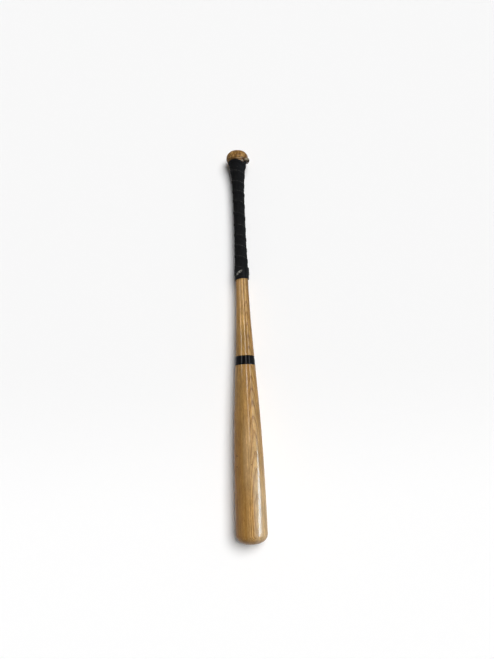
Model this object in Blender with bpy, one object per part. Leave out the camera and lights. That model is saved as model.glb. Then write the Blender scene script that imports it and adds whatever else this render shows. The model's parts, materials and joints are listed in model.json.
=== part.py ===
"""Wooden baseball bat with a taped grip, lying on a floor.

Every piece is built along the bat's own axis, where a station is the distance from the knob's end face.
The empty rest_axis lays that axis down: the knob points along +Y and the barrel along -Y, with the bat
resting on its barrel and on the rim of its knob. Lengths are in metres.
"""

from math import atan, ceil, cos, exp, floor, pi, radians, sin, sqrt, tau

import bmesh
import bpy
import numpy as np

# Turned billet: barrel, taper and handle
BAT_LENGTH = 0.838
BARREL_DIAMETER = 0.0635
BARREL_DOME_LENGTH = 0.0205
BARREL_LAND_DIAMETER = 0.010
HANDLE_DIAMETER = 0.0226
HANDLE_STATION = 0.150
TAPER_MIDDLE = 0.504
TAPER_SPREAD = 0.093

# Turned billet: knob, and the flare that runs from it into the handle
KNOB_DIAMETER = 0.0484
KNOB_FACE_DIAMETER = 0.0316
KNOB_CORNER_LENGTH = 0.010
KNOB_CORNER_ROUNDNESS = 1.5
KNOB_RIM_LENGTH = 0.0025
KNOB_SHOULDER_LENGTH = 0.010
NECK_DIAMETER = 0.0405
FLARE_LENGTH = 0.030

# Black band set flush into the taper
RING_STATION = 0.4655
RING_LENGTH = 0.019
RING_THICKNESS = 0.0005

# Grip tape, wound from the knob towards the barrel
WRAP_CLEAR_OF_SHOULDER = 0.002
WRAP_END = 0.2865
WRAP_PITCH = 0.0249
WRAP_THICKNESS = 0.0006
WRAP_LAP_RISE = 0.0002
WRAP_RISE_POWER = 3
WRAP_SEAM = 0.0006
WRAP_TIP_WIDTH = 0.003
WRAP_PHASE = radians(90)

# Finishing tape over the barrel-side end of the grip tape
BAND_WIDTH = 0.025
BAND_ON_WOOD = 0.012
BAND_STEP_LENGTH = 0.006
BAND_THICKNESS = 0.00045
BAND_LAYER_GAP = 0.0005
BAND_FLAP_ANGLE = radians(55)
BAND_OVERLAP_ANGLE = radians(75)
BAND_RAMP_TURNS = 0.085
BAND_SKEW = 0.0013

# Loose starting end of the grip tape, arched from the grip over the knob's shoulder
TAB_ANGLE = radians(22)
TAB_WIDTH = 0.011
TAB_THICKNESS = 0.0007
TAB_ARCH = 0.0015
TAB_ON_RIM = 0.008
TAB_ON_WRAP = 0.0035

# Clearance between neighbouring pieces, and the fineness of the turned and wound shapes
PIECE_GAP = 0.0003
TURNED_FACETS = 48
LOOP_POINTS = 24
WRAP_COLUMNS = 4
TAB_COLUMNS = 4
TAB_POINTS = 9
CORNER_POINTS = 6
SHOULDER_POINTS = 5
DOME_POINTS = 8
FLARE_RINGS = 10
TAPER_RINGS = 24
SMOOTH_ANGLE = radians(32)

# Stations that follow from the sizes above
SHOULDER_START = KNOB_CORNER_LENGTH + KNOB_RIM_LENGTH
NECK_STATION = SHOULDER_START + KNOB_SHOULDER_LENGTH
DOME_START = BAT_LENGTH - BARREL_DOME_LENGTH
WRAP_START = NECK_STATION + WRAP_CLEAR_OF_SHOULDER
BAND_END = WRAP_END + BAND_ON_WOOD
BAND_START = BAND_END - BAND_WIDTH
LOOP_CORNER = 1 / cos(pi / LOOP_POINTS)


def spread(first, last, count):
    """Evenly spaced values from first to last, both included."""
    return [first + (last - first) * step / (count - 1) for step in range(count)]


def taper_share(station):
    """How far the taper has gone from handle to barrel, along an S-shaped curve."""
    return 1 / (1 + exp((TAPER_MIDDLE - station) / TAPER_SPREAD))


def turned_radius(station):
    """Radius of the wood between the neck and the barrel's dome."""
    at_handle = taper_share(HANDLE_STATION)
    gained = (taper_share(station) - at_handle) / (taper_share(DOME_START) - at_handle)
    flare = (NECK_DIAMETER - HANDLE_DIAMETER) * exp((NECK_STATION - station) / FLARE_LENGTH)
    return (HANDLE_DIAMETER + (BARREL_DIAMETER - HANDLE_DIAMETER) * gained + flare) / 2


def shoulder_radius(station):
    """Radius of the knob's shoulder, a quarter ellipse from the rim down to the neck."""
    neck = turned_radius(NECK_STATION)
    along = max(station - SHOULDER_START, 0) / KNOB_SHOULDER_LENGTH
    return neck + (KNOB_DIAMETER / 2 - neck) * sqrt(1 - along**2)


def knob_outline():
    """Stations and radii from the knob's end face to just before its neck."""
    face = KNOB_FACE_DIAMETER / 2
    rim = KNOB_DIAMETER / 2
    power = 2 / KNOB_CORNER_ROUNDNESS
    outline = []
    for turn in spread(0, pi / 2, CORNER_POINTS):
        station = KNOB_CORNER_LENGTH * (1 - cos(turn) ** power)
        outline.append((station, face + (rim - face) * sin(turn) ** power))
    for turn in spread(0, pi / 2, SHOULDER_POINTS)[:-1]:
        station = SHOULDER_START + KNOB_SHOULDER_LENGTH * sin(turn)
        outline.append((station, shoulder_radius(station)))
    return outline


def seat_outline():
    """The shallow seat of the black band, as deep as the band and its clearance."""
    depth = RING_THICKNESS + PIECE_GAP
    ends = (RING_STATION, RING_STATION + RING_LENGTH)
    outer = [(station, turned_radius(station)) for station in ends]
    inner = [(station, radius - depth) for station, radius in outer]
    return [outer[0], inner[0], inner[1], outer[1]]


def dome_outline():
    """Half ellipse at the barrel's end, cut by a small flat land."""
    barrel = BARREL_DIAMETER / 2
    land = BARREL_LAND_DIAMETER / 2
    reach = BARREL_DOME_LENGTH / sqrt(1 - (land / barrel) ** 2)
    outline = []
    for turn in spread(0, 1, DOME_POINTS):
        radius = barrel - (barrel - land) * turn**2
        outline.append((DOME_START + reach * sqrt(1 - (radius / barrel) ** 2), radius))
    return outline


def billet_outline():
    """The whole turned outline, from the knob's end face to the barrel's land."""
    handle = spread(NECK_STATION, HANDLE_STATION, FLARE_RINGS)
    taper = spread(HANDLE_STATION, DOME_START, TAPER_RINGS)[1:-1]
    outline = knob_outline()
    outline += [(station, turned_radius(station)) for station in handle]
    outline += [(station, turned_radius(station)) for station in taper if station < RING_STATION - PIECE_GAP]
    outline += seat_outline()
    seat_end = RING_STATION + RING_LENGTH
    outline += [(station, turned_radius(station)) for station in taper if station > seat_end + PIECE_GAP]
    return outline + dome_outline()


def turned_shape(outline, closed=False):
    """The outline spun about the axis, with a facet straight down. An open one gets flat end faces."""
    shape = bmesh.new()
    first = -pi / 2 + pi / TURNED_FACETS
    points = [(radius * cos(first), radius * sin(first), station) for station, radius in outline]
    line = [shape.verts.new(point) for point in points]
    pairs = list(zip(line, line[1:]))
    if closed:
        pairs.append((line[-1], line[0]))
    edges = [shape.edges.new(pair) for pair in pairs]
    bmesh.ops.spin(
        shape,
        geom=line + edges,
        cent=(0, 0, 0),
        axis=(0, 0, 1),
        angle=tau,
        steps=TURNED_FACETS,
        use_merge=True,
    )
    open_edges = [edge for edge in shape.edges if edge.is_boundary]
    bmesh.ops.holes_fill(shape, edges=open_edges, sides=0)
    return shape


def strip_shape(sections):
    """A strip through cross-sections, each a closed loop of points, with its two ends closed."""
    shape = bmesh.new()
    loops = [[shape.verts.new(point) for point in section] for section in sections]
    for before, after in zip(loops, loops[1:]):
        for corner in range(len(before)):
            shape.faces.new((before[corner - 1], before[corner], after[corner], after[corner - 1]))
    shape.faces.new(loops[0])
    shape.faces.new(reversed(loops[-1]))
    return shape


def strip_section(angle, stations, inner_radii, thicknesses):
    """One cross-section of a strip at an angle about the axis: its inner row, then its outer row back."""
    inner = [(radius, station) for radius, station in zip(inner_radii, stations)]
    outer = [
        (radius + thickness, station)
        for radius, station, thickness in zip(inner_radii, stations, thicknesses)
    ]
    return [(radius * cos(angle), radius * sin(angle), station) for radius, station in inner + outer[::-1]]


def wrap_inner_radius(station):
    """Inner side of the grip tape at the corners of its loops, whose chords then clear the wood."""
    return (turned_radius(station) + PIECE_GAP) * LOOP_CORNER


def wrap_outer_radius(station):
    """Outer side of the grip tape at its raised edge."""
    return wrap_inner_radius(station) + WRAP_THICKNESS + WRAP_LAP_RISE


def wrap_sections():
    """The grip tape's cross-sections: a left-handed helix whose ends run out square to the axis."""
    first = ceil((WRAP_TIP_WIDTH + WRAP_SEAM) / WRAP_PITCH * LOOP_POINTS)
    last = floor(((WRAP_END - WRAP_START - WRAP_TIP_WIDTH) / WRAP_PITCH + 1) * LOOP_POINTS)
    sections = []
    for step in range(first, last + 1):
        turns = step / LOOP_POINTS
        knob_side = max(WRAP_START, WRAP_START + WRAP_PITCH * (turns - 1))
        barrel_side = min(WRAP_END, WRAP_START + WRAP_PITCH * turns - WRAP_SEAM)
        stations = spread(knob_side, barrel_side, WRAP_COLUMNS)
        inner_radii = [wrap_inner_radius(station) for station in stations]
        rises = [WRAP_LAP_RISE * nearness**WRAP_RISE_POWER for nearness in spread(1, 0, WRAP_COLUMNS)]
        thicknesses = [WRAP_THICKNESS + rise for rise in rises]
        sections.append(strip_section(WRAP_PHASE - tau * turns, stations, inner_radii, thicknesses))
    return sections


def band_sections():
    """The finishing tape's cross-sections: one turn and an overlap, stepping from the grip onto the wood."""
    steps = round((1 + BAND_OVERLAP_ANGLE / tau) * LOOP_POINTS)
    sections = []
    for step in range(steps + 1):
        turns = step / LOOP_POINTS
        angle = BAND_FLAP_ANGLE - tau * (steps - step) / LOOP_POINTS
        skew = -BAND_SKEW * cos(angle)
        stations = [
            BAND_START + skew,
            (BAND_START + WRAP_END) / 2,
            WRAP_END + PIECE_GAP,
            WRAP_END + BAND_STEP_LENGTH,
            BAND_END + skew,
        ]
        over_wrap = [(wrap_outer_radius(station) + PIECE_GAP) * LOOP_CORNER for station in stations[:3]]
        over_wood = [wrap_inner_radius(station) for station in stations[3:]]
        climbed = min(max((turns - 1) / BAND_RAMP_TURNS + 1, 0), 1)
        lift = (BAND_THICKNESS + BAND_LAYER_GAP) * climbed
        inner_radii = [radius + lift for radius in over_wrap + over_wood]
        sections.append(strip_section(angle, stations, inner_radii, [BAND_THICKNESS] * len(stations)))
    return sections


def tab_sections():
    """The tab's cross-sections along its arch, from the knob's rim to the grip tape."""
    rim_station = NECK_STATION - TAB_ON_RIM
    wrap_station = WRAP_START + TAB_ON_WRAP
    low = PIECE_GAP + TAB_THICKNESS / 2
    rim_radius = shoulder_radius(rim_station) + low
    wrap_radius = wrap_outer_radius(wrap_station) * LOOP_CORNER + low
    sections = []
    for along in spread(0, 1, TAB_POINTS):
        station = rim_station + (wrap_station - rim_station) * along
        radius = rim_radius + (wrap_radius - rim_radius) * along + TAB_ARCH * sin(pi * along)
        half_angle = TAB_WIDTH / 2 / radius
        angles = spread(TAB_ANGLE - half_angle, TAB_ANGLE + half_angle, TAB_COLUMNS)
        rows = [(radius - TAB_THICKNESS / 2, angles), (radius + TAB_THICKNESS / 2, angles[::-1])]
        sections.append([(r * cos(a), r * sin(a), station) for r, row in rows for a in row])
    return sections


def least_self_gap(sections):
    """Least distance between points of a wound strip that lie half a loop or more apart along it."""
    points = np.array(sections)
    apart = LOOP_POINTS // 2
    least = np.inf
    for index in range(len(points) - apart):
        later = points[index + apart :].reshape(-1, 3)
        between = points[index][:, None] - later[None]
        least = min(least, np.sqrt((between**2).sum(axis=2)).min())
    return least


def rest_tilt(outline):
    """Angle by which the axis rises towards the barrel when the bat lies on its knob and its barrel."""
    knob = [point for point in outline if point[0] <= NECK_STATION]
    barrel = [point for point in outline if point[0] > RING_STATION]
    slopes = [
        max((radius - low_radius) / (station - low_station) for station, radius in barrel)
        for low_station, low_radius in knob
    ]
    return atan(min(slopes) * cos(pi / TURNED_FACETS))


def make_material(name, colour, roughness):
    material = bpy.data.materials.new(name)
    material.use_nodes = True
    surface = material.node_tree.nodes["Principled BSDF"]
    surface.inputs["Base Color"].default_value = (*colour, 1)
    surface.inputs["Roughness"].default_value = roughness
    return material


def add_piece(name, shape, station, parent, material):
    """Turns a shape into a named object whose origin lies on the bat's axis at the given station."""
    bmesh.ops.translate(shape, verts=shape.verts, vec=(0, 0, -station))
    bmesh.ops.recalc_face_normals(shape, faces=shape.faces)
    mesh = bpy.data.meshes.new(name)
    shape.to_mesh(mesh)
    shape.free()
    mesh.shade_smooth()
    mesh.set_sharp_from_angle(angle=SMOOTH_ANGLE)
    mesh.materials.append(material)
    piece = bpy.data.objects.new(name, mesh)
    piece.location.z = station
    piece.parent = parent
    bpy.context.scene.collection.objects.link(piece)
    return piece


def add_bat_body(rest_axis):
    wood = make_material("lacquered_ash", (0.40, 0.24, 0.10), 0.35)
    return add_piece("bat_body", turned_shape(billet_outline()), 0, rest_axis, wood)


def add_black_ring(rest_axis):
    """Thin sleeve in the billet's seat, flush with the wood on both sides of it."""
    paint = make_material("black_paint", (0.006, 0.006, 0.007), 0.3)
    ends = (RING_STATION + PIECE_GAP, RING_STATION + RING_LENGTH - PIECE_GAP)
    outer = [(station, turned_radius(station)) for station in ends]
    inner = [(station, radius - RING_THICKNESS) for station, radius in reversed(outer)]
    return add_piece("black_ring", turned_shape(outer + inner, closed=True), ends[0], rest_axis, paint)


def add_grip_wrap(rest_axis):
    cloth = make_material("black_grip_tape", (0.012, 0.012, 0.013), 0.85)
    sections = wrap_sections()
    print(f"grip_wrap: least gap to itself {least_self_gap(sections) * 1000:.2f} mm")
    return add_piece("grip_wrap", strip_shape(sections), WRAP_START, rest_axis, cloth)


def add_finish_band(rest_axis):
    vinyl = make_material("black_finishing_tape", (0.014, 0.014, 0.015), 0.5)
    sections = band_sections()
    print(f"finish_band: least gap to itself {least_self_gap(sections) * 1000:.2f} mm")
    return add_piece("finish_band", strip_shape(sections), BAND_START, rest_axis, vinyl)


def add_tape_tab(rest_axis):
    backing = make_material("tape_backing", (0.20, 0.17, 0.13), 0.8)
    return add_piece("tape_tab", strip_shape(tab_sections()), NECK_STATION, rest_axis, backing)


def lay_down(rest_axis, body):
    """Moves the axis so that the bat stands on z = 0, with the origin below the middle of its length."""
    bpy.context.view_layer.update()
    corners = [body.matrix_world @ vertex.co for vertex in body.data.vertices]
    rest_axis.location.y -= (min(point.y for point in corners) + max(point.y for point in corners)) / 2
    rest_axis.location.z -= min(point.z for point in corners)


def main():
    for thing in list(bpy.data.objects):
        bpy.data.objects.remove(thing)
    rest_axis = bpy.data.objects.new("rest_axis", None)
    bpy.context.scene.collection.objects.link(rest_axis)
    rest_axis.rotation_euler.x = pi / 2 - rest_tilt(billet_outline())
    body = add_bat_body(rest_axis)
    add_black_ring(rest_axis)
    add_grip_wrap(rest_axis)
    add_finish_band(rest_axis)
    add_tape_tab(rest_axis)
    lay_down(rest_axis, body)


main()
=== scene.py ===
"""Wooden baseball bat with a taped grip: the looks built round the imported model, and a plain studio.

Pieces are shaped along the bat's own axis, where a station is the distance from the knob's end face, and
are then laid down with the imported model. Lengths are in metres, and colours are given as a screen shows
them, from 0 to 255.
"""

import json
from math import atan2, cos, exp, pi, radians, sin, sqrt, tau

import bmesh
import bpy
from mathutils import Matrix, Vector, noise


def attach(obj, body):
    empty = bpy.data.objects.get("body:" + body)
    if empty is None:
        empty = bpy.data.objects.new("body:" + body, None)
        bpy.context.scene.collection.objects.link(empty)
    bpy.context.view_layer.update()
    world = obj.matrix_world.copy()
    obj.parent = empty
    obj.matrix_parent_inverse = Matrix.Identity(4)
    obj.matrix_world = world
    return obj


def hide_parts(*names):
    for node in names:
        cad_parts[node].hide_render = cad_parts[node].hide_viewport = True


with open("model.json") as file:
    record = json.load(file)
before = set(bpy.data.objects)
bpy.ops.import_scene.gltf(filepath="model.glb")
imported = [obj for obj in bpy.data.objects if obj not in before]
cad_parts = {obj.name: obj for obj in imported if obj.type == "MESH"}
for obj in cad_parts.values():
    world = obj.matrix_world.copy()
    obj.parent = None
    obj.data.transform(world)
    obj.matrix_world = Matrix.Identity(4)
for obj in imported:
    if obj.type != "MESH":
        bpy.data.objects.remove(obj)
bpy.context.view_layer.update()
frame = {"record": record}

# Turned billet
BAT_LENGTH = 0.838
BARREL_DIAMETER = 0.0635
BARREL_DOME_LENGTH = 0.0205
BARREL_LAND_DIAMETER = 0.010
BARREL_DOME_ROUNDNESS = 2.3
HANDLE_DIAMETER = 0.0226
HANDLE_STATION = 0.150
TAPER_MIDDLE = 0.504
TAPER_SPREAD = 0.093
KNOB_DIAMETER = 0.0484
KNOB_FACE_DIAMETER = 0.0316
KNOB_CORNER_LENGTH = 0.010
KNOB_CORNER_ROUNDNESS = 1.5
KNOB_RIM_LENGTH = 0.0025
KNOB_SHOULDER_LENGTH = 0.010
NECK_DIAMETER = 0.0405
FLARE_LENGTH = 0.030
SHOULDER_START = KNOB_CORNER_LENGTH + KNOB_RIM_LENGTH
NECK_STATION = SHOULDER_START + KNOB_SHOULDER_LENGTH
DOME_START = BAT_LENGTH - BARREL_DOME_LENGTH
GROOVE_STATION = 0.0197
GROOVE_DEPTH = 0.0004
GROOVE_REACH = 0.0009
POLE_RADIUS = 0.0004
TURNED_STEPS = 160

# Points along the turned outline
FACE_POINTS = 5
CORNER_POINTS = 18
SHOULDER_POINTS = 40
HANDLE_POINTS = 26
TAPER_POINTS = 112
DOME_POINTS = 26

# Where the wood is fuller than an even taper: by how much, at which station, and how far that reaches
WOOD_FULLNESS = [(0.0005, 0.57, 0.16), (0.0007, 0.28, 0.045)]

# Slight waves left by sanding: their depth, how finely they vary across and along, and from which radius
SANDING_WAVE = 0.00003
SANDING_ACROSS = 45
SANDING_ALONG = 9
SANDING_START = 0.008

# Painted band
BAND_STATION = 0.4655
BAND_LENGTH = 0.019
PAINT_FILM = 0.00006

# Grip tape
TAPE_START = 0.0238
TAPE_END = 0.2865
TAPE_PITCH = 0.0249
TAPE_OVERLAP = 0.0050
TAPE_THICKNESS = 0.0006
TAPE_CHAMFER = 0.00018
TAPE_CLEARANCE = 0.0003
LAP_CLEARANCE = 0.00008
TAPE_PHASE = radians(90)
TAPE_STEPS = 72
TAPE_STEP_START = 0.0002
TAPE_STEP_DOWN = 0.0014
TAPE_SLACK = 0.00010
TAPE_COLUMNS = [0.0009, 0.002, 0.0035, 0.0046, 0.0052, 0.0057, 0.0062, 0.0068, 0.0080, 0.0105, 0.014, 0.018]
TAPE_COLUMNS += [0.022, 0.025, 0.0275]
PUCKER_HEIGHT = 0.00014
PUCKER_REACH = 0.004
RAGGED_DEPTH = 0.00035
RAGGED_REACH = 0.0005

# Laps that lie off their even place, since the tape is wound by hand: how far, at which turn, over how many
LAP_DRIFTS = [(-0.0044, 4.6, 1.1), (0.0020, 7.1, 0.8)]

# The tape's first edge curves away from the knob, most of all beside the loose end
START_SCALLOP = 0.0053
SCALLOP_START = radians(95)
SCALLOP_SPAN = radians(56)
SCALLOP_POWER = 1.2
SCALLOP_END = (radians(29), radians(40))
SCALLOP_REACH = 0.010

# Finishing tape over the end of the grip tape
FINISH_START = 0.2735
FINISH_WIDTH = 0.025
FINISH_THICKNESS = 0.0006
FINISH_CHAMFER = 0.00012
FINISH_CLEARANCE = 0.0002
FINISH_LAP_CLEARANCE = 0.0001
FINISH_TURNS = 1 + 75 / 360
FINISH_STEPS = 120
FINISH_SKEW = 0.0013
FINISH_SLOPE = 0.0045
FINISH_CLIMB = (0.94, 1.03)
FINISH_FLAP_ANGLE = radians(55)
FINISH_FLAP_TURN = 0.03
FINISH_FLAP_LIFT = 0.0006
FINISH_CREASE = 0.00012
FINISH_COLUMNS = [0.001, 0.003, 0.005, 0.007, 0.009, 0.0105, 0.012, 0.013, 0.014, 0.015, 0.016, 0.017]
FINISH_COLUMNS += [0.018, 0.020, 0.0225, 0.024]

# Loose starting end of the grip tape: its two edges as (station, radius, degrees from the right side)
TAIL_THICKNESS = 0.0008
TAIL_HALF_LENGTH = 0.010
TAIL_HALF_WIDTH = 0.003
TAIL_TEAR = 0.05
TAIL_CROWN = 0.0005
TAIL_WAVE = 0.0002
TAIL_KNOB_EDGE = [
    (0.0218, 0.0222, 46),
    (0.0200, 0.0246, 39),
    (0.0185, 0.0261, 30),
    (0.0180, 0.0266, 15),
    (0.0182, 0.0266, 0),
    (0.0195, 0.0256, -11),
    (0.0225, 0.0226, -17),
]
TAIL_BARREL_EDGE = [
    (0.0240, 0.0220, 41),
    (0.0239, 0.0243, 38),
    (0.0236, 0.0251, 32),
    (0.0236, 0.0245, 23),
    (0.0238, 0.0230, 13),
    (0.0241, 0.0217, 2),
    (0.0252, 0.0206, -4),
]

# Growth rings of the ash
RING_SPACING = 0.00135
RING_TURN = radians(27)
PITH_DISTANCE = 0.11
RING_WANDER = 0.010
RING_RIPPLE = 0.0007
RING_UNEVENNESS = 1.6

# Camera and studio
PHOTO_HEIGHT = 659
FOCAL_PIXELS = 560
SENSOR_HEIGHT = 36
CAMERA_PLACE = (0.00674, 1.16094, 0.65021)
CAMERA_TILT = radians(11.8)
CAMERA_ROLL = -0.0402104508
CAMERA_CLIP_START = 0.01
FLOOR_SIZE = 40
FLOOR_DROP = 0.0001
FLOOR_TONE_REACH = (-0.40, -0.04)
HORIZON_REACH = (1.0, 4.5)
WHITE = (1, 1, 1, 1)
SKY_LEVEL = 0.09
CEILING_LEVEL = 0.25
CEILING_RISE = (0.35, 0.65)
SUN_LEVEL = 0.905
SUN_ELEVATION = radians(66)
SUN_AZIMUTH = radians(44)
SUN_SPREAD = radians(38)
PANEL_AIM = 0.6


def smooth_step(value, low, high):
    share = min(max((value - low) / (high - low), 0), 1)
    return share * share * (3 - 2 * share)


def hump(value, middle, reach):
    """1 in the middle, falling softly to 0 on both sides."""
    return exp(-(((value - middle) / reach) ** 2))


def spread(first, last, count):
    """Evenly spaced values from first to last, both included."""
    return [first + (last - first) * step / (count - 1) for step in range(count)]


def screen(red, green, blue):
    """A colour's values as they show on a screen, made into light."""
    values = [value / 255 for value in (red, green, blue)]
    light = [value / 12.92 if value < 0.04045 else ((value + 0.055) / 1.055) ** 2.4 for value in values]
    return (*light, 1)


# ---- the bat's axis ----


def bat_axis():
    """Matrix from (right, up, station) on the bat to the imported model's frame."""
    mounts = {mount["name"]: mount for mount in frame["record"]["mounts"]}
    along = -Vector(mounts["knob_end"]["axis"]).normalized()
    right = Vector((1, 0, 0))
    up = along.cross(right)
    turn = Matrix((right, up, along)).transposed().to_4x4()
    return Matrix.Translation(mounts["knob_end"]["pos_m"]) @ turn


AXIS = bat_axis()


def on_bat(station, radius, angle):
    """A point at an angle from the bat's right side, where a quarter turn is its top."""
    return Vector((radius * cos(angle), radius * sin(angle), station))


# ---- the turned outline ----


def taper_share(station):
    return 1 / (1 + exp((TAPER_MIDDLE - station) / TAPER_SPREAD))


def wood_radius(station):
    """Radius of the wood between the neck and the barrel's dome."""
    at_handle = taper_share(HANDLE_STATION)
    gained = (taper_share(station) - at_handle) / (taper_share(DOME_START) - at_handle)
    flare = (NECK_DIAMETER - HANDLE_DIAMETER) * exp((NECK_STATION - station) / FLARE_LENGTH)
    fuller = sum(height * hump(station, middle, reach) for height, middle, reach in WOOD_FULLNESS)
    return (HANDLE_DIAMETER + (BARREL_DIAMETER - HANDLE_DIAMETER) * gained + flare) / 2 + fuller


def shoulder_radius(station):
    """Radius of the knob's rounded shoulder, with the groove that the lathe left near the neck."""
    neck = wood_radius(NECK_STATION)
    along = min(max(station - SHOULDER_START, 0) / KNOB_SHOULDER_LENGTH, 1)
    groove_shade = GROOVE_DEPTH * hump(station, GROOVE_STATION, GROOVE_REACH)
    return neck + (KNOB_DIAMETER / 2 - neck) * sqrt(1 - along**2) - groove_shade


def bat_outline():
    """Points from the middle of the knob's face to the middle of the barrel's end, as (station, radius)."""
    face, rim = KNOB_FACE_DIAMETER / 2, KNOB_DIAMETER / 2
    power = 2 / KNOB_CORNER_ROUNDNESS
    outline = [(0, POLE_RADIUS)] + [(0, radius) for radius in spread(face * 0.25, face * 0.92, FACE_POINTS)]
    for turn in spread(0, pi / 2, CORNER_POINTS):
        station = KNOB_CORNER_LENGTH * (1 - cos(turn) ** power)
        outline.append((station, face + (rim - face) * sin(turn) ** power))
    for turn in spread(0, pi / 2, SHOULDER_POINTS):
        station = SHOULDER_START + KNOB_SHOULDER_LENGTH * sin(turn)
        outline.append((station, shoulder_radius(station)))
    stations = spread(NECK_STATION, HANDLE_STATION, HANDLE_POINTS)[1:]
    stations += spread(HANDLE_STATION, DOME_START, TAPER_POINTS)[1:]
    outline += [(station, wood_radius(station)) for station in stations]
    barrel, land = BARREL_DIAMETER / 2, BARREL_LAND_DIAMETER / 2
    power = BARREL_DOME_ROUNDNESS
    reach = BARREL_DOME_LENGTH / (1 - (land / barrel) ** power) ** (1 / power)
    for turn in spread(0, 1, DOME_POINTS)[1:]:
        radius = barrel - (barrel - land) * turn**2
        outline.append((DOME_START + reach * (1 - (radius / barrel) ** power) ** (1 / power), radius))
    return outline + [(BAT_LENGTH, land * share) for share in (0.7, 0.4, 0.1)]


# ---- making pieces ----


def finish_piece(name, shape, material, node):
    """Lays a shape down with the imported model, as a piece that stands for a node of it."""
    bmesh.ops.transform(shape, matrix=AXIS, verts=shape.verts)
    mesh = bpy.data.meshes.new(name)
    shape.to_mesh(mesh)
    shape.free()
    mesh.shade_smooth()
    mesh.materials.append(material)
    piece = bpy.data.objects.new(name, mesh)
    bpy.context.scene.collection.objects.link(piece)
    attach(piece, "root")
    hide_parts(node)


def close_holes(shape):
    bmesh.ops.holes_fill(shape, edges=[edge for edge in shape.edges if edge.is_boundary], sides=0)


def turned(outline, closed):
    """The outline spun about the bat's axis. A closed outline makes a ring."""
    shape = bmesh.new()
    line = [shape.verts.new(on_bat(station, radius, 0)) for station, radius in outline]
    pairs = list(zip(line, line[1:])) + ([(line[-1], line[0])] if closed else [])
    edges = [shape.edges.new(pair) for pair in pairs]
    bmesh.ops.spin(
        shape,
        geom=line + edges,
        cent=(0, 0, 0),
        axis=(0, 0, 1),
        angle=tau,
        steps=TURNED_STEPS,
        use_merge=True,
    )
    close_holes(shape)
    bmesh.ops.recalc_face_normals(shape, faces=shape.faces)
    return shape


def sand(shape, start):
    """Moves the points beyond a radius in or out by the slight waves that sanding leaves."""
    for vert in shape.verts:
        around = Vector((vert.co.x, vert.co.y, 0))
        if around.length > start:
            spot = (vert.co.x * SANDING_ACROSS, vert.co.y * SANDING_ACROSS, vert.co.z * SANDING_ALONG)
            vert.co += around.normalized() * SANDING_WAVE * noise.noise(Vector(spot))


def unrolled(turn):
    """Length of wound tape up to a turn."""
    return turn * tau * HANDLE_DIAMETER / 2


def wound(section, first, turns, steps, place):
    """A strip: its section of (across, height) points is wound by the spin operator, then each point is set
    on the bat by place(turn, across, height). Its map runs along and across the strip, in metres."""
    shape = bmesh.new()
    across_of = shape.verts.layers.float.new("across")
    height_of = shape.verts.layers.float.new("height")
    start = []
    for across, height in section:
        vert = shape.verts.new((1 + height, 0, across))
        vert[across_of], vert[height_of] = across, height
        start.append(vert)
    edges = [shape.edges.new((start[i - 1], start[i])) for i in range(len(start))]
    count = round(turns * steps)
    bmesh.ops.spin(
        shape,
        geom=start + edges,
        cent=(0, 0, 0),
        axis=(0, 0, 1),
        dvec=(0, 0, 1 / steps),
        angle=tau * count / steps,
        steps=count,
        use_merge=False,
    )
    close_holes(shape)
    turn_of = {vert: first + vert.co.z - vert[across_of] for vert in shape.verts}
    tape_map = shape.loops.layers.uv.new("along_and_across")
    for face in shape.faces:
        for loop in face.loops:
            loop[tape_map].uv = (unrolled(turn_of[loop.vert]), loop.vert[across_of])
    for vert in shape.verts:
        vert.co = place(turn_of[vert], vert[across_of], vert[height_of])
    return shape


def cut_square(shape, station, keep_above):
    """Cuts a shape square to the axis and closes the cut."""
    bmesh.ops.bisect_plane(
        shape,
        geom=shape.verts[:] + shape.edges[:] + shape.faces[:],
        dist=1e-7,
        plane_co=(0, 0, station),
        plane_no=(0, 0, 1),
        clear_inner=keep_above,
        clear_outer=not keep_above,
    )
    close_holes(shape)


def strip_section(width, columns, chamfer):
    """Points round a strip's section with chamfered edges, heights as shares of its thickness."""
    inner = [(chamfer, 0)] + [(across, 0) for across in columns[3::4]] + [(width - chamfer, 0), (width, 0.3)]
    outer = [(width, 0.7), (width - chamfer, 1)] + [(across, 1) for across in reversed(columns)]
    return inner + outer + [(chamfer, 1), (0, 0.72), (0, 0.28)]


# ---- pieces ----


def make_bat_wood(material):
    shape = turned(bat_outline(), closed=False)
    sand(shape, SANDING_START)
    finish_piece("turned_ash_bat", shape, material, "bat_body")


def make_painted_band(material):
    """A thin film over the wood, thinner still at its two edges."""
    stations = spread(BAND_STATION, BAND_STATION + BAND_LENGTH, 9)
    edge = PAINT_FILM / 2
    outer = [(stations[0] - edge, wood_radius(stations[0]) + edge)]
    outer += [(station, wood_radius(station) + PAINT_FILM) for station in stations]
    outer.append((stations[-1] + edge, wood_radius(stations[-1]) + edge))
    inner = [(station, wood_radius(station) + SANDING_WAVE / 4) for station in reversed(stations)]
    shape = turned(outer + inner, closed=True)
    sand(shape, 0)
    finish_piece("painted_band", shape, material, "black_ring")


def tape_top(station):
    """Radius of the grip tape's outer side where two laps lie on each other."""
    return wood_radius(station) + TAPE_CLEARANCE + 2 * TAPE_THICKNESS


def lap_drift(turn):
    return sum(shift * hump(turn, middle, reach) for shift, middle, reach in LAP_DRIFTS)


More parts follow.
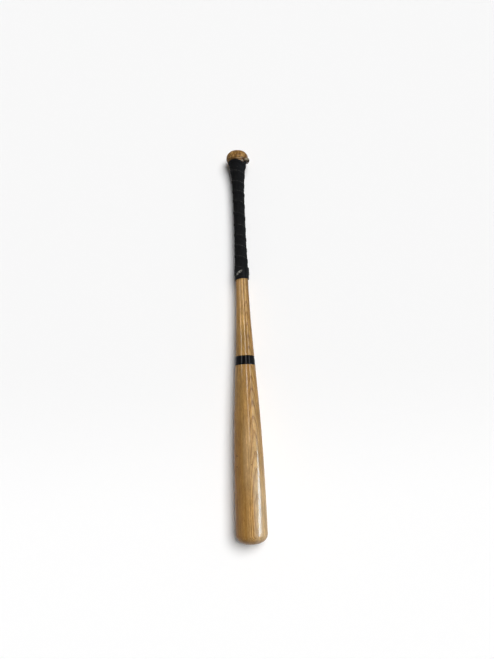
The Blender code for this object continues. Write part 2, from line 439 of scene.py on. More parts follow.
def place_on_grip(turn, across, height):
    """Where a point of the grip tape lies. The knob side of each lap lies on the lap before it."""
    station = TAPE_START + TAPE_PITCH * (turn - 1) + across + lap_drift(turn)
    along = unrolled(turn)
    lapped = 1 - smooth_step(across, TAPE_OVERLAP + TAPE_STEP_START, TAPE_OVERLAP + TAPE_STEP_DOWN)
    pucker = 0.5 + 0.5 * noise.noise(Vector((along * 120, across * 90, 3.1)))
    slack = TAPE_SLACK * noise.noise(Vector((along * 45, across * 60, 8.7)))
    puckered = PUCKER_HEIGHT * hump(across, 0, PUCKER_REACH) * pucker**2
    lift = lapped * (TAPE_THICKNESS + LAP_CLEARANCE) + puckered + slack
    radius = wood_radius(max(station, NECK_STATION)) + TAPE_CLEARANCE + lift + height * TAPE_THICKNESS
    if across < RAGGED_REACH:
        station += RAGGED_DEPTH * noise.noise(Vector((along * 70, 0.0, 1.3)))
    return on_bat(station, radius, TAPE_PHASE - tau * turn)


def scallop_start(shape):
    """Curves the tape's first edge away from the knob."""
    for vert in shape.verts:
        station, radius, angle = vert.co.z, vert.co.xy.length, atan2(vert.co.y, vert.co.x)
        share = min(max((SCALLOP_START - angle) / SCALLOP_SPAN, 0), 1) ** SCALLOP_POWER
        scallop = START_SCALLOP * share * smooth_step(angle, *SCALLOP_END)
        moved = station + scallop * (1 - smooth_step(station, TAPE_START, TAPE_START + SCALLOP_REACH))
        vert.co = on_bat(moved, radius + wood_radius(moved) - wood_radius(station), angle)


def make_grip_tape(material):
    """One strip, wound a little past both ends of the grip and cut square there."""
    first = -TAPE_OVERLAP / TAPE_PITCH - 0.25
    turns = (TAPE_END - TAPE_START) / TAPE_PITCH + 1.5 - first
    section = strip_section(TAPE_PITCH + TAPE_OVERLAP, TAPE_COLUMNS, TAPE_CHAMFER)
    shape = wound(section, first, turns, TAPE_STEPS, place_on_grip)
    cut_square(shape, TAPE_START, keep_above=True)
    cut_square(shape, TAPE_END, keep_above=False)
    scallop_start(shape)
    bmesh.ops.recalc_face_normals(shape, faces=shape.faces)
    finish_piece("wound_grip_tape", shape, material, "grip_wrap")


def place_on_finish(turn, across, height):
    """Where a point of the finishing tape lies: over the grip tape's end, down its step and on the wood."""
    angle = FINISH_FLAP_ANGLE - tau * (FINISH_TURNS - turn)
    station = FINISH_START - FINISH_SKEW * cos(angle) + across
    over = smooth_step(station, TAPE_END, TAPE_END + FINISH_SLOPE)
    under = tape_top(station) * (1 - over) + (wood_radius(station) + TAPE_CLEARANCE) * over
    climbed = smooth_step(turn, *FINISH_CLIMB)
    loose = FINISH_FLAP_LIFT * smooth_step(turn, FINISH_TURNS - FINISH_FLAP_TURN, FINISH_TURNS)
    crease = FINISH_CREASE * noise.noise(Vector((cos(angle) * 3, sin(angle) * 3, across * 160 + turn)))
    lift = climbed * (FINISH_THICKNESS + FINISH_LAP_CLEARANCE) + loose + crease + FINISH_CLEARANCE
    return on_bat(station, under + lift + height * FINISH_THICKNESS, angle)


def make_finishing_tape(material):
    section = strip_section(FINISH_WIDTH, FINISH_COLUMNS, FINISH_CHAMFER)
    shape = wound(section, 0, FINISH_TURNS, FINISH_STEPS, place_on_finish)
    bmesh.ops.recalc_face_normals(shape, faces=shape.faces)
    finish_piece("finishing_tape", shape, material, "finish_band")


def along_path(points, share):
    """A point on a smooth curve through these points."""
    place = min(share, 0.99999) * (len(points) - 1)
    index = int(place)
    ends = [Vector(points[min(max(index + step, 0), len(points) - 1)]) for step in (-1, 0, 1, 2)]
    part = place - index
    bend = (2 * ends[0] - 5 * ends[1] + 4 * ends[2] - ends[3]) * part**2
    twist = (3 * ends[1] - ends[0] - 3 * ends[2] + ends[3]) * part**3
    return (2 * ends[1] + (ends[2] - ends[0]) * part + bend + twist) / 2


def make_tape_tail(material):
    """The loose end: a short torn piece of the tape that stands off the neck in a loop."""
    shape = bmesh.new()
    bmesh.ops.create_grid(shape, x_segments=64, y_segments=14, size=1)
    tail_map = shape.loops.layers.uv.new("along_and_across")
    for face in shape.faces:
        for loop in face.loops:
            spot = loop.vert.co
            loop[tail_map].uv = (spot.x * TAIL_HALF_LENGTH, spot.y * TAIL_HALF_WIDTH)
    for vert in shape.verts:
        along, across = (vert.co.x + 1) / 2, (vert.co.y + 1) / 2
        torn = TAIL_TEAR * noise.noise(Vector((across * 6, 2.7, 5.2))) * exp(-along * 10)
        frayed = TAIL_TEAR * noise.noise(Vector((along * 9, 6.1, 1.4)))
        reached = max(along + torn, 0)
        edges = [Vector(along_path(edge, reached)) for edge in (TAIL_KNOB_EDGE, TAIL_BARREL_EDGE)]
        station, radius, degrees = edges[0].lerp(edges[1], across + frayed * (across - 0.5))
        radius += TAIL_CROWN * sin(pi * across) + TAIL_WAVE * noise.noise(Vector((along * 7, across * 3, 1)))
        vert.co = on_bat(station, radius, radians(degrees))
    bmesh.ops.recalc_face_normals(shape, faces=shape.faces)
    bmesh.ops.solidify(shape, geom=shape.faces[:], thickness=TAIL_THICKNESS)
    bmesh.ops.recalc_face_normals(shape, faces=shape.faces)
    finish_piece("curled_tape_end", shape, material, "tape_tab")


# ---- nodes ----


def feed(tree, inputs, values):
    """Gives each of these inputs a value or a link."""
    for name, value in values.items():
        if isinstance(value, bpy.types.NodeSocket):
            tree.links.new(value, inputs[name])
        else:
            inputs[name].default_value = value


def add_node(tree, kind, values=None, **settings):
    """Adds a node with these settings, and with a value or a link for each of these inputs."""
    node = tree.nodes.new("ShaderNode" + kind)
    for name, value in settings.items():
        setattr(node, name, value)
    feed(tree, node.inputs, values or {})
    return node


def sums(tree, operation, first, second=0.0, third=0.0):
    return add_node(tree, "Math", {0: first, 1: second, 2: third}, operation=operation).outputs[0]


def product(tree, first, *others):
    for other in others:
        first = sums(tree, "MULTIPLY", first, other)
    return first


def opposite(tree, share):
    return sums(tree, "SUBTRACT", 1.0, share)


def split(tree, vector):
    return add_node(tree, "SeparateXYZ", {0: vector}).outputs


def joined(tree, *parts, kind="CombineXYZ"):
    return add_node(tree, kind, dict(enumerate(parts))).outputs[0]


def measured(tree, operation, *vectors):
    """A number worked out from one or two vectors."""
    return add_node(tree, "VectorMath", dict(enumerate(vectors)), operation=operation).outputs["Value"]


def blend_colours(tree, share, first, second, mode="MIX"):
    values = {0: share, 6: first, 7: second}
    return add_node(tree, "Mix", values, data_type="RGBA", blend_type=mode).outputs[2]


def layered(tree, colour, *layers):
    """A colour covered by others in turn, each given after the share of it that shows."""
    for share, cover in layers:
        colour = blend_colours(tree, share, colour, cover)
    return colour


def ramp_between(tree, value, low, high, to_low=0.0, to_high=1.0):
    values = {"Value": value, "From Min": low, "From Max": high, "To Min": to_low, "To Max": to_high}
    return add_node(tree, "MapRange", values, interpolation_type="SMOOTHSTEP").outputs[0]


def zone(tree, *limits):
    """The product of ramps, each given as its value and limits."""
    return product(tree, *[ramp_between(tree, *limit) for limit in limits])


def cloudy(tree, vector, scale, detail=2.0, rough=0.5):
    values = {"Vector": vector, "Scale": scale, "Detail": detail, "Roughness": rough}
    return add_node(tree, "TexNoise", values).outputs[0]


def drawn_out(tree, vector, scale, detail=2.0, rough=0.5):
    """Noise with a scale of its own in each direction."""
    stretched = add_node(tree, "Mapping", {"Vector": vector, "Scale": scale}).outputs[0]
    return cloudy(tree, stretched, 1, detail, rough)


def make_group(name, inputs, outputs):
    group = bpy.data.node_groups.new(name, "ShaderNodeTree")
    for title, kind, value in inputs:
        socket = group.interface.new_socket(name=title, in_out="INPUT", socket_type=kind)
        if value is not None:
            socket.default_value = value
    for title, kind in outputs:
        group.interface.new_socket(name=title, in_out="OUTPUT", socket_type=kind)
    return group, group.nodes.new("NodeGroupInput").outputs, group.nodes.new("NodeGroupOutput").inputs


def weave_group():
    """Plain weave: a height, and a tone that differs from thread to thread."""
    inputs = [("Vector", "NodeSocketVector", None), ("Thread Spacing", "NodeSocketFloat", 0.0005)]
    outputs = [("Height", "NodeSocketFloat"), ("Thread Tone", "NodeSocketFloat")]
    group, given, wanted = make_group("cloth_weave", inputs, outputs)
    wander = product(group, cloudy(group, given["Vector"], 240, 1), 1.5)
    waves = []
    for part in split(group, given["Vector"])[:2]:
        shifted = sums(group, "ADD", sums(group, "DIVIDE", part, given["Thread Spacing"]), wander)
        waves.append(sums(group, "SINE", product(group, shifted, pi)))
    height = sums(group, "MULTIPLY_ADD", product(group, *waves), 0.5, 0.5)
    threads = [drawn_out(group, given["Vector"], scale) for scale in ((90, 1900, 1), (1900, 90, 1))]
    tone = product(group, sums(group, "ADD", *threads), 0.5)
    feed(group, wanted, {"Height": height, "Thread Tone": tone})
    return group


def speck_group():
    """Scattered small specks of lint or dust, as a mask."""
    inputs = [
        ("Vector", "NodeSocketVector", None),
        ("Scale", "NodeSocketFloat", 300.0),
        ("Size", "NodeSocketFloat", 0.12),
        ("Share", "NodeSocketFloat", 0.3),
    ]
    group, given, wanted = make_group("scattered_specks", inputs, [("Mask", "NodeSocketFloat")])
    bent = product(group, cloudy(group, given["Vector"], 900), 0.12)
    cells = add_node(group, "TexVoronoi", {"Vector": given["Vector"], "Scale": given["Scale"]}).outputs
    away = sums(group, "ADD", cells["Distance"], bent)
    spot = opposite(group, ramp_between(group, away, 0.05, given["Size"]))
    picked = sums(group, "LESS_THAN", split(group, cells["Color"])[0], given["Share"])
    feed(group, wanted, {"Mask": product(group, spot, picked)})
    return group


def mottle_group():
    """Soft uneven tone, as a value between two limits."""
    inputs = [
        ("Vector", "NodeSocketVector", None),
        ("Scale", "NodeSocketFloat", 40.0),
        ("Low", "NodeSocketFloat", 0.8),
        ("High", "NodeSocketFloat", 1.2),
    ]
    group, given, wanted = make_group("soft_mottle", inputs, [("Tone", "NodeSocketFloat")])
    cloud = cloudy(group, given["Vector"], given["Scale"], 3, 0.55)
    feed(group, wanted, {"Tone": ramp_between(group, cloud, 0.3, 0.7, given["Low"], given["High"])})
    return group


GROUPS = {"weave": weave_group(), "specks": speck_group(), "mottle": mottle_group()}


def use_group(tree, name, values):
    return add_node(tree, "Group", values, node_tree=GROUPS[name]).outputs


def woven(tree, along, spacing):
    """Height and thread tone of a weave."""
    made = use_group(tree, "weave", {"Vector": along, "Thread Spacing": spacing})
    return made["Height"], made["Thread Tone"]


def specks(tree, vector, scale, size, share):
    return use_group(tree, "specks", {"Vector": vector, "Scale": scale, "Size": size, "Share": share})["Mask"]


def mottle(tree, vector, scale, low, high):
    return use_group(tree, "mottle", {"Vector": vector, "Scale": scale, "Low": low, "High": high})["Tone"]


def object_place(tree):
    return add_node(tree, "TexCoord").outputs["Object"]


def bat_place(tree, turn=0.0):
    """Object coordinates as (right, up, station) on the bat, turned about its axis."""
    matrix = Matrix.Rotation(-turn, 4, "Z") @ AXIS.inverted()
    turned_by = {"Location": matrix.translation, "Rotation": matrix.to_euler("XYZ")}
    return add_node(tree, "Mapping", {"Vector": object_place(tree), **turned_by}).outputs[0]


def tape_place(tree):
    """The tape's own map: metres along it and across it."""
    return add_node(tree, "UVMap", uv_map="along_and_across").outputs[0]


def wood_spot(station, angle):
    """A point on the wood, as (right, up, station), at an angle from its top towards the right."""
    radius = wood_radius(station)
    return Vector((radius * sin(angle), radius * cos(angle), station))


# ---- materials ----


def new_material(name, roughness, specular=0.5, coat=0.0, coat_roughness=0.1):
    material = bpy.data.materials.new(name)
    material.use_nodes = True
    tree = material.node_tree
    surface = tree.nodes["Principled BSDF"]
    values = {"Roughness": roughness, "Specular IOR Level": specular}
    values |= {"Coat Weight": coat, "Coat Roughness": coat_roughness}
    feed(tree, surface.inputs, values)
    return material, tree, surface


def bumped(tree, surface, height, distance):
    bump = add_node(tree, "Bump", {"Height": height, "Distance": distance, "Strength": 1.0})
    feed(tree, surface.inputs, {"Normal": bump.outputs[0]})


# The wood's own colours, and two paler ones for painted sheen and painted light on the barrel
WOOD = screen(158, 121, 66)
WOOD_PALE = screen(170, 134, 77)
BROWN_STREAK = screen(150, 108, 50)
PALE_STREAK = screen(180, 147, 88)
DARK_RING = screen(128, 88, 38)
PALE_HAIR = screen(196, 160, 100)
DARK_HAIR = screen(104, 70, 30)
OPEN_PORE = screen(84, 52, 20)
# Paler wood for the painted sheen and painted light on the barrel
SHEEN_WOOD = screen(201, 174, 133)
SHEEN_RING = screen(166, 134, 90)
END_GRAIN = screen(124, 86, 40)
MARK = screen(66, 42, 22)

# The handled knob's colours, and the painted light and shade of its neck, groove and notch
KNOB_GRIME = screen(93, 61, 30)
KNOB_WORN = screen(186, 152, 102)
NECK_BAND_SHADE = screen(94, 70, 42)
NECK_BAND_HIGHLIGHT = screen(196, 162, 124)
GROOVE_SHADE = screen(66, 46, 24)
NOTCH_SHADE = screen(70, 48, 27)

# How much of its red, green and blue the wood loses in the painted shade on its left side and left edge
LEFT_SHADE_LOSS = (0.08, 0.17, 0.30)
LEFT_EDGE_SHADE_LOSS = (0.06, 0.14, 0.36)

# Small marks on the wood: station, angle from the top towards the right, and radius of the mark
WOOD_MARKS = [
    (0.668, radians(-52), 0.0024),
    (0.689, radians(-53), 0.0025),
    (0.6855, radians(10), 0.0013),
    (0.790, radians(-24), 0.0008),
]
MARK_CORE = 0.45

# Painted highlights and shade in streaks along the handle: angle from the top towards the right, half width,
# and how much lighter
HANDLE_LIGHT_STREAKS = [
    (-0.54, 0.10, -0.12),
    (-0.36, 0.12, 0.26),
    (-0.19, 0.09, -0.14),
    (0.10, 0.13, 0.50),
    (0.27, 0.08, -0.12),
    (0.48, 0.15, 0.24),
    (1.10, 0.40, -0.26),
]

WOOD_RELIEF = 0.00005
PAINT_RELIEF = 0.00002
CLOTH_RELIEF = 0.00016
SMOOTH_TAPE_RELIEF = 0.00005
CLOTH_THREADS = 0.00055
SMOOTH_TAPE_THREADS = 0.0004


def growth_rings(tree, place):
    """Rings round a pith beside the bat: each ring's tone, its open early wood, and where it is dark."""
    wander = drawn_out(tree, place, (9, 9, 4.5), 2, 0.45)
    ripple = drawn_out(tree, place, (60, 60, 14), 1)
    parts = split(tree, place)
    reach = measured(tree, "LENGTH", joined(tree, sums(tree, "ADD", parts[0], PITH_DISTANCE), parts[1]))
    reach = sums(tree, "MULTIPLY_ADD", wander, RING_WANDER, reach)
    reach = sums(tree, "MULTIPLY_ADD", ripple, RING_RIPPLE, reach)
    uneven = cloudy(tree, joined(tree, reach), 90, 1)
    count = sums(tree, "MULTIPLY_ADD", uneven, RING_UNEVENNESS, sums(tree, "DIVIDE", reach, RING_SPACING))
    share, number = sums(tree, "FRACT", count), sums(tree, "FLOOR", count)
    tone = add_node(tree, "TexWhiteNoise", {"W": number}, noise_dimensions="1D").outputs["Value"]
    early = opposite(tree, ramp_between(tree, share, 0.06, 0.42))
    late = product(tree, ramp_between(tree, share, 0.80, 1.0), 0.35)
    return tone, early, sums(tree, "MAXIMUM", early, late)


def grain_and_painted_streaks(tree, place, flat, station, lean, fibre):
    """Grey that the wood is multiplied by: fibres, strands and patches, and painted light and shade in
    streaks along the handle.
    """
    strand = drawn_out(tree, place, (300, 300, 2.2))
    patch = drawn_out(tree, flat, (48, 48, 20), 3, 0.6)
    fleck = drawn_out(tree, flat, (460, 460, 210))
    blotch = drawn_out(tree, flat, (170, 170, 75))
    slim = ramp_between(tree, station, 0.47, 0.35)
    sway = sums(tree, "MULTIPLY_ADD", drawn_out(tree, flat, (60, 60, 9), 1), 0.08, -0.04)
    swayed = sums(tree, "ADD", lean, sway)
    grain_bands_and_light_streaks = product(tree, ramp_between(tree, strand, 0.38, 0.62, -0.07, 0.07), slim)
    # The lighter streaks are painted highlights along the lamps' reflections, the darker ones painted shade
    for angle, half_width, gain in HANDLE_LIGHT_STREAKS:
        away = sums(tree, "ABSOLUTE", sums(tree, "SUBTRACT", swayed, angle))
        lift = product(tree, ramp_between(tree, away, half_width, 0.0, 0.0, gain), slim)
        grain_bands_and_light_streaks = sums(tree, "ADD", grain_bands_and_light_streaks, lift)
    tone = product(
        tree,
        ramp_between(tree, fibre, 0.3, 0.7, 0.88, 1.11),
        sums(tree, "ADD", grain_bands_and_light_streaks, 1.0),
        ramp_between(tree, strand, 0.34, 0.66, 0.86, 1.16),
        ramp_between(tree, patch, 0.3, 0.7, 0.85, 1.13),
        ramp_between(tree, fleck, 0.3, 0.7, 0.90, 1.10),
        ramp_between(tree, blotch, 0.3, 0.7, 0.90, 1.10),
    )
    return joined(tree, tone, tone, tone, kind="CombineColor")


def painted_light_tint(tree, station, lean):
    """Colour the wood is multiplied by: painted light on top and the handle's left, painted shade on its
    left.
    """
    top_light_share = zone(tree, (lean, -0.36, -0.14), (lean, 0.7, 0.2), (station, 0.42, 0.62))
    left_shade_share = zone(tree, (lean, -0.25, -0.6), (station, 0.50, 0.66))
    left_edge_shade_share = zone(tree, (lean, -0.7, -1.15), (station, 0.50, 0.60))
    handle_left_light = zone(tree, (lean, 0.2, -0.7, 0.1, 1.0), (station, 0.46, 0.38))
    shade = sums(tree, "MULTIPLY_ADD", handle_left_light, 0.16, sums(tree, "MULTIPLY_ADD", top_light_share, 0.18, 1.0))
    tints = [sums(tree, "MULTIPLY_ADD", left_shade_share, -share, shade) for share in LEFT_SHADE_LOSS]
    tints[2] = sums(tree, "MULTIPLY_ADD", top_light_share, 0.16, tints[2])
    tints = [sums(tree, "MULTIPLY_ADD", left_edge_shade_share, -share, tint) for share, tint in zip(LEFT_EDGE_SHADE_LOSS, tints)]
    return joined(tree, *tints, kind="CombineColor")


def paint_barrel_sheen(tree, body, dark, grain_and_light_streaks, station, lean):
    """Adds a painted sheen on the barrel's right side, and fainter painted light with a pale wood streak on
    its top.
    """
    right_sheen = zone(tree, (lean, 0.08, 0.45), (lean, 2.2, 1.6), (station, 0.62, 0.76))
    top_light_and_pale_streak = zone(tree, (lean, -0.50, -0.18), (lean, -0.05, 0.20, 0.32, 0.20), (station, 0.57, 0.65))
    top_light_and_pale_streak = product(tree, top_light_and_pale_streak, ramp_between(tree, station, 0.765, 0.69))
    sheen_colour = blend_colours(tree, product(tree, dark, 0.5), SHEEN_WOOD, SHEEN_RING)
    sheen_colour = blend_colours(tree, 0.7, sheen_colour, grain_and_light_streaks, "MULTIPLY")
    sheen_share = sums(tree, "MAXIMUM", product(tree, right_sheen, 0.65), top_light_and_pale_streak)
    return blend_colours(tree, sheen_share, body, sheen_colour)


def wear_and_shade_knob(tree, body, flat, handled, sideways, station):
    """Adds grime and worn specks, then painted light and shade: a band on the neck, the groove, a notch on
    the right.
    """
    worn = specks(tree, flat, 330, 0.34, 0.34)
    neck_band_lit = zone(tree, (sideways, -0.007, 0.001), (sideways, 0.0128, 0.0080))
    neck_light_band = product(tree, ramp_between(tree, station, 0.0202, 0.0212), handled)
    away = sums(tree, "ABSOLUTE", sums(tree, "SUBTRACT", station, GROOVE_STATION))
    groove_shade = opposite(tree, ramp_between(tree, away, 0.0004, 0.0016))
    groove_shade_depth = ramp_between(tree, sideways, 0.007, 0.014, 0.6, 0.85)
    notch_shade = zone(tree, (sideways, 0.0095, 0.0130), (station, 0.0208, 0.0220), (station, 0.034, 0.030))
    return layered(
        tree,
        body,
        (product(tree, handled, mottle(tree, flat, 170, 0.15, 1.0)), KNOB_GRIME),
        (product(tree, worn, handled, 0.5), KNOB_WORN),
        # A band of painted light on the neck: a painted highlight right of its top, painted shade elsewhere
        (neck_light_band, blend_colours(tree, neck_band_lit, NECK_BAND_SHADE, NECK_BAND_HIGHLIGHT)),
        # Painted shade in the groove beside the neck band, stronger towards the right
        (product(tree, groove_shade, groove_shade_depth), GROOVE_SHADE),
        # Painted shade on the neck in the notch under the tape's loose end
        (product(tree, notch_shade, 0.75), NOTCH_SHADE),
    )


def mark_wood(tree, body, flat):
    """Adds the darker end grain, then the small marks."""
    normal = add_node(tree, "NewGeometry").outputs["Normal"]
    facing = measured(tree, "DOT_PRODUCT", normal, AXIS.to_3x3() @ Vector((0, 0, 1)))
    end_grain = ramp_between(tree, sums(tree, "ABSOLUTE", facing), 0.35, 0.9, 0, 0.45)
    body = blend_colours(tree, end_grain, body, END_GRAIN)
    for station, angle, size in WOOD_MARKS:
        away = measured(tree, "DISTANCE", flat, wood_spot(station, angle))
        mark = opposite(tree, ramp_between(tree, away, size * MARK_CORE, size))
        body = blend_colours(tree, product(tree, mark, 0.75), body, MARK)
    return body


def lacquered_ash():
    material, tree, surface = new_material("lacquered_ash", 0.4, 0.04, coat=0.3, coat_roughness=0.09)
    place = bat_place(tree, turn=pi / 2 - RING_TURN)
    flat = bat_place(tree)
    parts = split(tree, flat)
    sideways, station = parts[0], parts[2]
    lean = sums(tree, "ARCTAN2", sideways, parts[1])

    ring_tone, early, dark = growth_rings(tree, place)
    fibre = drawn_out(tree, place, (950, 950, 30), 3, 0.6)
    streak = drawn_out(tree, place, (95, 95, 1.6))
    broad = drawn_out(tree, place, (30, 30, 2.2))
    hair = drawn_out(tree, place, (1500, 1500, 26))
    pores = drawn_out(tree, place, (2300, 2300, 110), 2, 0.6)
    pore = product(tree, ramp_between(tree, pores, 0.54, 0.62), early)
    grain_and_light_streaks = grain_and_painted_streaks(tree, place, flat, station, lean, fibre)
    calm = zone(tree, (station, 0.48, 0.60), (lean, 0.1, -0.35, 1.0, 0.62))
    grained = sums(tree, "ADD", calm, ramp_between(tree, station, 0.60, 0.48))

    body = layered(
        tree,
        blend_colours(tree, ring_tone, WOOD, WOOD_PALE),
        (ramp_between(tree, streak, 0.42, 0.68, 0, 0.75), BROWN_STREAK),
        (ramp_between(tree, broad, 0.45, 0.75, 0, 0.5), PALE_STREAK),
        (product(tree, dark, 0.75), DARK_RING),
    )
    body = layered(
        tree,
        blend_colours(tree, grained, body, grain_and_light_streaks, "MULTIPLY"),
        (ramp_between(tree, hair, 0.58, 0.72, 0, 0.45), PALE_HAIR),
        (ramp_between(tree, hair, 0.42, 0.30, 0, 0.28), DARK_HAIR),
        (product(tree, pore, 0.8), OPEN_PORE),
    )
    # Painted light on the top and the handle's left, painted shade on the barrel's left
    body = blend_colours(tree, 1.0, body, painted_light_tint(tree, station, lean), "MULTIPLY")
    # Painted sheen on the barrel's right and painted light on its top
    body = paint_barrel_sheen(tree, body, dark, grain_and_light_streaks, station, lean)
    handled = opposite(tree, ramp_between(tree, station, 0.012, 0.040))
    body = wear_and_shade_knob(tree, body, flat, handled, sideways, station)
    body = mark_wood(tree, body, flat)

    values = {"Base Color": body, "Roughness": mottle(tree, flat, 60, 0.34, 0.50)}
    values["Coat Weight"] = sums(tree, "MULTIPLY_ADD", handled, -0.22, 0.3)
    feed(tree, surface.inputs, values)
    bumped(tree, surface, sums(tree, "SUBTRACT", fibre, pore), WOOD_RELIEF)
    return material


def black_paint():
    material, tree, surface = new_material("black_paint", 0.14, 0.05)
    flat = bat_place(tree)
    fibre = drawn_out(tree, flat, (700, 700, 16), 3, 0.6)
    rubbed = ramp_between(tree, fibre, 0.60, 0.78, 0, 0.5)
    dust = specks(tree, flat, 420, 0.16, 0.10)
    colour = blend_colours(tree, rubbed, screen(12, 12, 14), screen(34, 31, 28))
    colour = blend_colours(tree, product(tree, dust, 0.5), colour, screen(84, 78, 68))
    feed(tree, surface.inputs, {"Base Color": colour, "Roughness": mottle(tree, flat, 90, 0.11, 0.18)})
    bumped(tree, surface, fibre, PAINT_RELIEF)
    return material


def black_cloth_tape():
    material, tree, surface = new_material("black_cloth_tape", 0.82, 0.05)
    along = tape_place(tree)
    flat = bat_place(tree)
    height, thread_tone = woven(tree, along, CLOTH_THREADS)
    edge = opposite(tree, ramp_between(tree, split(tree, along)[1], 0.0003, 0.0013))
    frayed = product(tree, edge, ramp_between(tree, cloudy(tree, along, 600), 0.35, 0.65))
    lint = specks(tree, flat, 260, 0.18, 0.22)
    fluff = specks(tree, flat, 520, 0.30, 0.30)
    colour = layered(
        tree,
        blend_colours(tree, mottle(tree, flat, 160, 0.0, 1.0), screen(8, 8, 9), screen(18, 18, 19)),
        (ramp_between(tree, thread_tone, 0.45, 0.62, 0, 0.6), screen(30, 30, 31)),
        (product(tree, frayed, 0.7), screen(92, 90, 88)),
        (product(tree, lint, 0.8), screen(128, 124, 116)),
        (product(tree, fluff, 0.5), screen(72, 71, 70)),
    )
    rough = ramp_between(tree, height, 0.0, 1.0, 0.92, 0.74)
    feed(tree, surface.inputs, {"Base Color": colour, "Roughness": rough})
    bumped(tree, surface, height, CLOTH_RELIEF)
    return material


PALE_PATCH_STATION = 0.2853
PALE_PATCH_ANGLE = radians(-23)
PALE_PATCH_HALF_LENGTH = 0.0105
PALE_PATCH_HALF_WIDTH = 0.0036
PALE_PATCH_LENGTHWISE = Vector((0.83, 0, -0.56))
PALE_PATCH_SIDEWISE = Vector((0.56, 0, 0.83))


def pale_patch_mask(tree, flat):
    """A slanting pale patch on the finishing tape's front, broken up by noise."""
    centre = wood_spot(PALE_PATCH_STATION, PALE_PATCH_ANGLE)
    moved = add_node(tree, "VectorMath", {0: flat, 1: centre}, operation="SUBTRACT").outputs[0]
    ways = (PALE_PATCH_LENGTHWISE / PALE_PATCH_HALF_LENGTH, PALE_PATCH_SIDEWISE / PALE_PATCH_HALF_WIDTH)
    oval = joined(tree, *[measured(tree, "DOT_PRODUCT", moved, way) for way in ways])
    patch = opposite(tree, ramp_between(tree, measured(tree, "LENGTH", oval), 0.3, 1.0))
    worn = ramp_between(tree, drawn_out(tree, flat, (300, 300, 420), 3, 0.6), 0.42, 0.56)
    return product(tree, patch, worn, 0.9)


def black_smooth_tape():
    material, tree, surface = new_material("black_smooth_tape", 0.5, 0.05)
    flat = bat_place(tree)
    height = woven(tree, tape_place(tree), SMOOTH_TAPE_THREADS)[0]
    cloud = mottle(tree, flat, 130, 0.0, 1.0)
    colour = layered(
        tree,
        blend_colours(tree, cloud, screen(8, 8, 9), screen(15, 15, 16)),
        (product(tree, specks(tree, flat, 300, 0.15, 0.10), 0.5), screen(120, 116, 108)),
        (pale_patch_mask(tree, flat), screen(168, 166, 158)),
    )
    rough = ramp_between(tree, cloud, 0.0, 1.0, 0.62, 0.44)
    feed(tree, surface.inputs, {"Base Color": colour, "Roughness": rough})
    bumped(tree, surface, sums(tree, "MULTIPLY_ADD", cloud, 0.5, height), SMOOTH_TAPE_RELIEF)
    return material


def tape_backing():
    """The loose end's woven back, browner over the part that reaches down the bat's right side."""
    material, tree, surface = new_material("tape_backing", 0.85, 0.08)
    along = tape_place(tree)
    flat = bat_place(tree)
    height, thread_tone = woven(tree, along, CLOTH_THREADS)
    grime = mottle(tree, flat, 260, 0.0, 0.9)
    colour = layered(
        tree,
        blend_colours(tree, grime, screen(158, 148, 126), screen(112, 96, 74)),
        (ramp_between(tree, thread_tone, 0.4, 0.62, 0, 0.5), screen(172, 166, 148)),
        (product(tree, specks(tree, flat, 500, 0.2, 0.3), 0.6), screen(48, 42, 36)),
        (ramp_between(tree, split(tree, along)[0], -0.0040, 0.0020, 0, 0.95), screen(62, 47, 29)),
    )
    feed(tree, surface.inputs, {"Base Color": colour})
    bumped(tree, surface, height, CLOTH_RELIEF)
    return material


# ---- studio ----


def seen_rays(tree):
    """1 for what the camera, a reflection or a transparent piece shows, and 0 for what only gives light."""
    path = add_node(tree, "LightPath").outputs
    seen = sums(tree, "MAXIMUM", path["Is Camera Ray"], path["Is Glossy Ray"])
    return sums(tree, "MAXIMUM", seen, path["Is Transmission Ray"])


def make_floor():
    """A large floor that fades to plain white far away, so that no horizon shows."""
    shape = bmesh.new()
    bmesh.ops.create_grid(shape, x_segments=1, y_segments=1, size=FLOOR_SIZE / 2)
    bmesh.ops.translate(shape, verts=shape.verts, vec=(0, 0, -FLOOR_DROP))
    mesh = bpy.data.meshes.new("floor")
    shape.to_mesh(mesh)
    shape.free()
    material, tree, surface = new_material("pale_floor", 1.0, 0.0)
    spot = object_place(tree)
    share = ramp_between(tree, split(tree, spot)[1], *FLOOR_TONE_REACH)
    colour = blend_colours(tree, share, screen(255, 255, 255), screen(249, 249, 249))
    feed(tree, surface.inputs, {"Base Color": colour})
    away = measured(tree, "LENGTH", spot)
    far = product(tree, ramp_between(tree, away, *HORIZON_REACH), seen_rays(tree))
    white = add_node(tree, "Emission", {"Color": WHITE}).outputs[0]
    mixed = add_node(tree, "MixShader", {0: far, 1: surface.outputs[0], 2: white}).outputs[0]
    feed(tree, tree.nodes["Material Output"].inputs, {"Surface": mixed})
    mesh.materials.append(material)
    floor = bpy.data.objects.new("floor", mesh)
    bpy.context.scene.collection.objects.link(floor)


def make_world():
    """A dim even light, and a backdrop for what shows: white near the floor and grey overhead."""
    world = bpy.data.worlds.new("studio")
    bpy.context.scene.world = world
    world.use_nodes = True
    tree = world.node_tree
    tree.nodes.clear()
    seen = seen_rays(tree)
    rise = split(tree, object_place(tree))[2]
    backdrop = ramp_between(tree, rise, *CEILING_RISE, 1.0, CEILING_LEVEL)
    strength = add_node(tree, "MapRange", {"Value": seen, "To Min": SKY_LEVEL, "To Max": backdrop}).outputs[0]
    light = add_node(tree, "Background", {"Color": WHITE, "Strength": strength}).outputs[0]
    add_node(tree, "OutputWorld", {0: light})


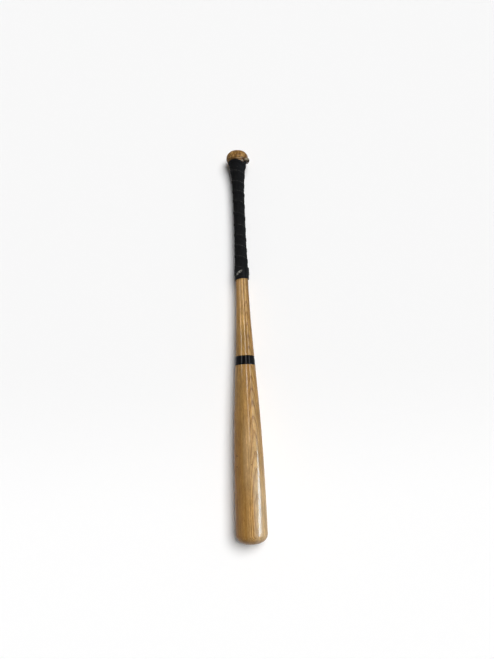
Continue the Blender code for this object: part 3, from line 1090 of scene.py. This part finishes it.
def make_key_light():
    """A broad soft light from the right and a little from behind the knob, with no highlight of its own."""
    light = bpy.data.lights.new("key", "SUN")
    light.energy = SUN_LEVEL * pi / sin(SUN_ELEVATION)
    light.angle = SUN_SPREAD
    lamp = bpy.data.objects.new("key", light)
    level = cos(SUN_ELEVATION)
    towards = Vector((level * cos(SUN_AZIMUTH), level * sin(SUN_AZIMUTH), sin(SUN_ELEVATION)))
    lamp.rotation_mode = "QUATERNION"
    lamp.rotation_quaternion = towards.to_track_quat("Z", "Y")
    lamp.visible_glossy = False
    bpy.context.scene.collection.objects.link(lamp)


# Long panels that show only as reflections: their two ends as (right, up, station), width, level and tint
PLAIN = (1, 1, 1)
COOL = (0.585, 0.80, 1)
PALE_COOL = (0.84, 0.93, 1)
PANELS = {
    "window": ((1.96, 0.42, 0.66), (1.585, 1.27, 1.36), 0.42, 35.5, COOL),
    "window_glow": ((1.75, 1.00, 0.78), (1.75, 1.05, 1.70), 3.40, 5.0, PALE_COOL),
    "window_fade": ((1.75, 1.00, 0.10), (1.75, 1.00, 0.78), 2.60, 1.7, PLAIN),
    "overhead_strip": ((0.36, 2.0, -0.80), (0.42, 2.0, 0.12), 0.36, 21.0, PLAIN),
    "overhead_end": ((0.40, 2.0, 0.12), (0.44, 2.0, 0.50), 0.32, 10.0, PLAIN),
    "left_strip": ((-1.22, 1.40, -0.70), (-1.22, 1.40, 0.04), 0.32, 20.0, PLAIN),
    "right_strip": ((1.60, 1.20, -0.80), (1.60, 1.20, 0.05), 0.34, 16.0, PLAIN),
    "right_end": ((1.60, 1.20, 0.05), (1.60, 1.20, 0.40), 0.50, 6.0, PLAIN),
}


def make_panels():
    aim = AXIS @ Vector((0, 0, PANEL_AIM))
    for name, (first, second, width, level, tint) in PANELS.items():
        start, end = AXIS @ Vector(first), AXIS @ Vector(second)
        light = bpy.data.lights.new(name, "AREA")
        light.shape = "RECTANGLE"
        light.size, light.size_y = width, (end - start).length
        light.color = tint
        light.energy = level * light.size * light.size_y * pi
        lamp = bpy.data.objects.new(name, light)
        out = (start + end) / 2
        along = (end - start).normalized()
        back = ((out - aim) - (out - aim).project(along)).normalized()
        side = along.cross(back)
        turn = Matrix((side, along, back)).transposed().to_4x4()
        lamp.matrix_world = Matrix.Translation(out) @ turn
        lamp.visible_diffuse = False
        bpy.context.scene.collection.objects.link(lamp)


def make_camera():
    right = Vector((1, 0, 0))
    forward = Vector((0, -cos(CAMERA_TILT), -sin(CAMERA_TILT)))
    up = right.cross(forward)
    rolled_right = right * cos(CAMERA_ROLL) + up * sin(CAMERA_ROLL)
    rolled_up = up * cos(CAMERA_ROLL) - right * sin(CAMERA_ROLL)
    turn = Matrix((rolled_right, rolled_up, -forward)).transposed().to_4x4()
    data = bpy.data.cameras.new("camera")
    data.sensor_fit = "VERTICAL"
    data.sensor_height = SENSOR_HEIGHT
    data.lens = SENSOR_HEIGHT * FOCAL_PIXELS / PHOTO_HEIGHT
    data.clip_start = CAMERA_CLIP_START
    camera = bpy.data.objects.new("camera", data)
    camera.matrix_world = AXIS @ Matrix.Translation(CAMERA_PLACE) @ turn
    bpy.context.scene.collection.objects.link(camera)
    bpy.context.scene.camera = camera


make_camera()
make_bat_wood(lacquered_ash())
make_painted_band(black_paint())
make_grip_tape(black_cloth_tape())
make_finishing_tape(black_smooth_tape())
make_tape_tail(tape_backing())
make_floor()
make_world()
make_key_light()
make_panels()
bpy.context.scene.view_settings.view_transform = "Standard"
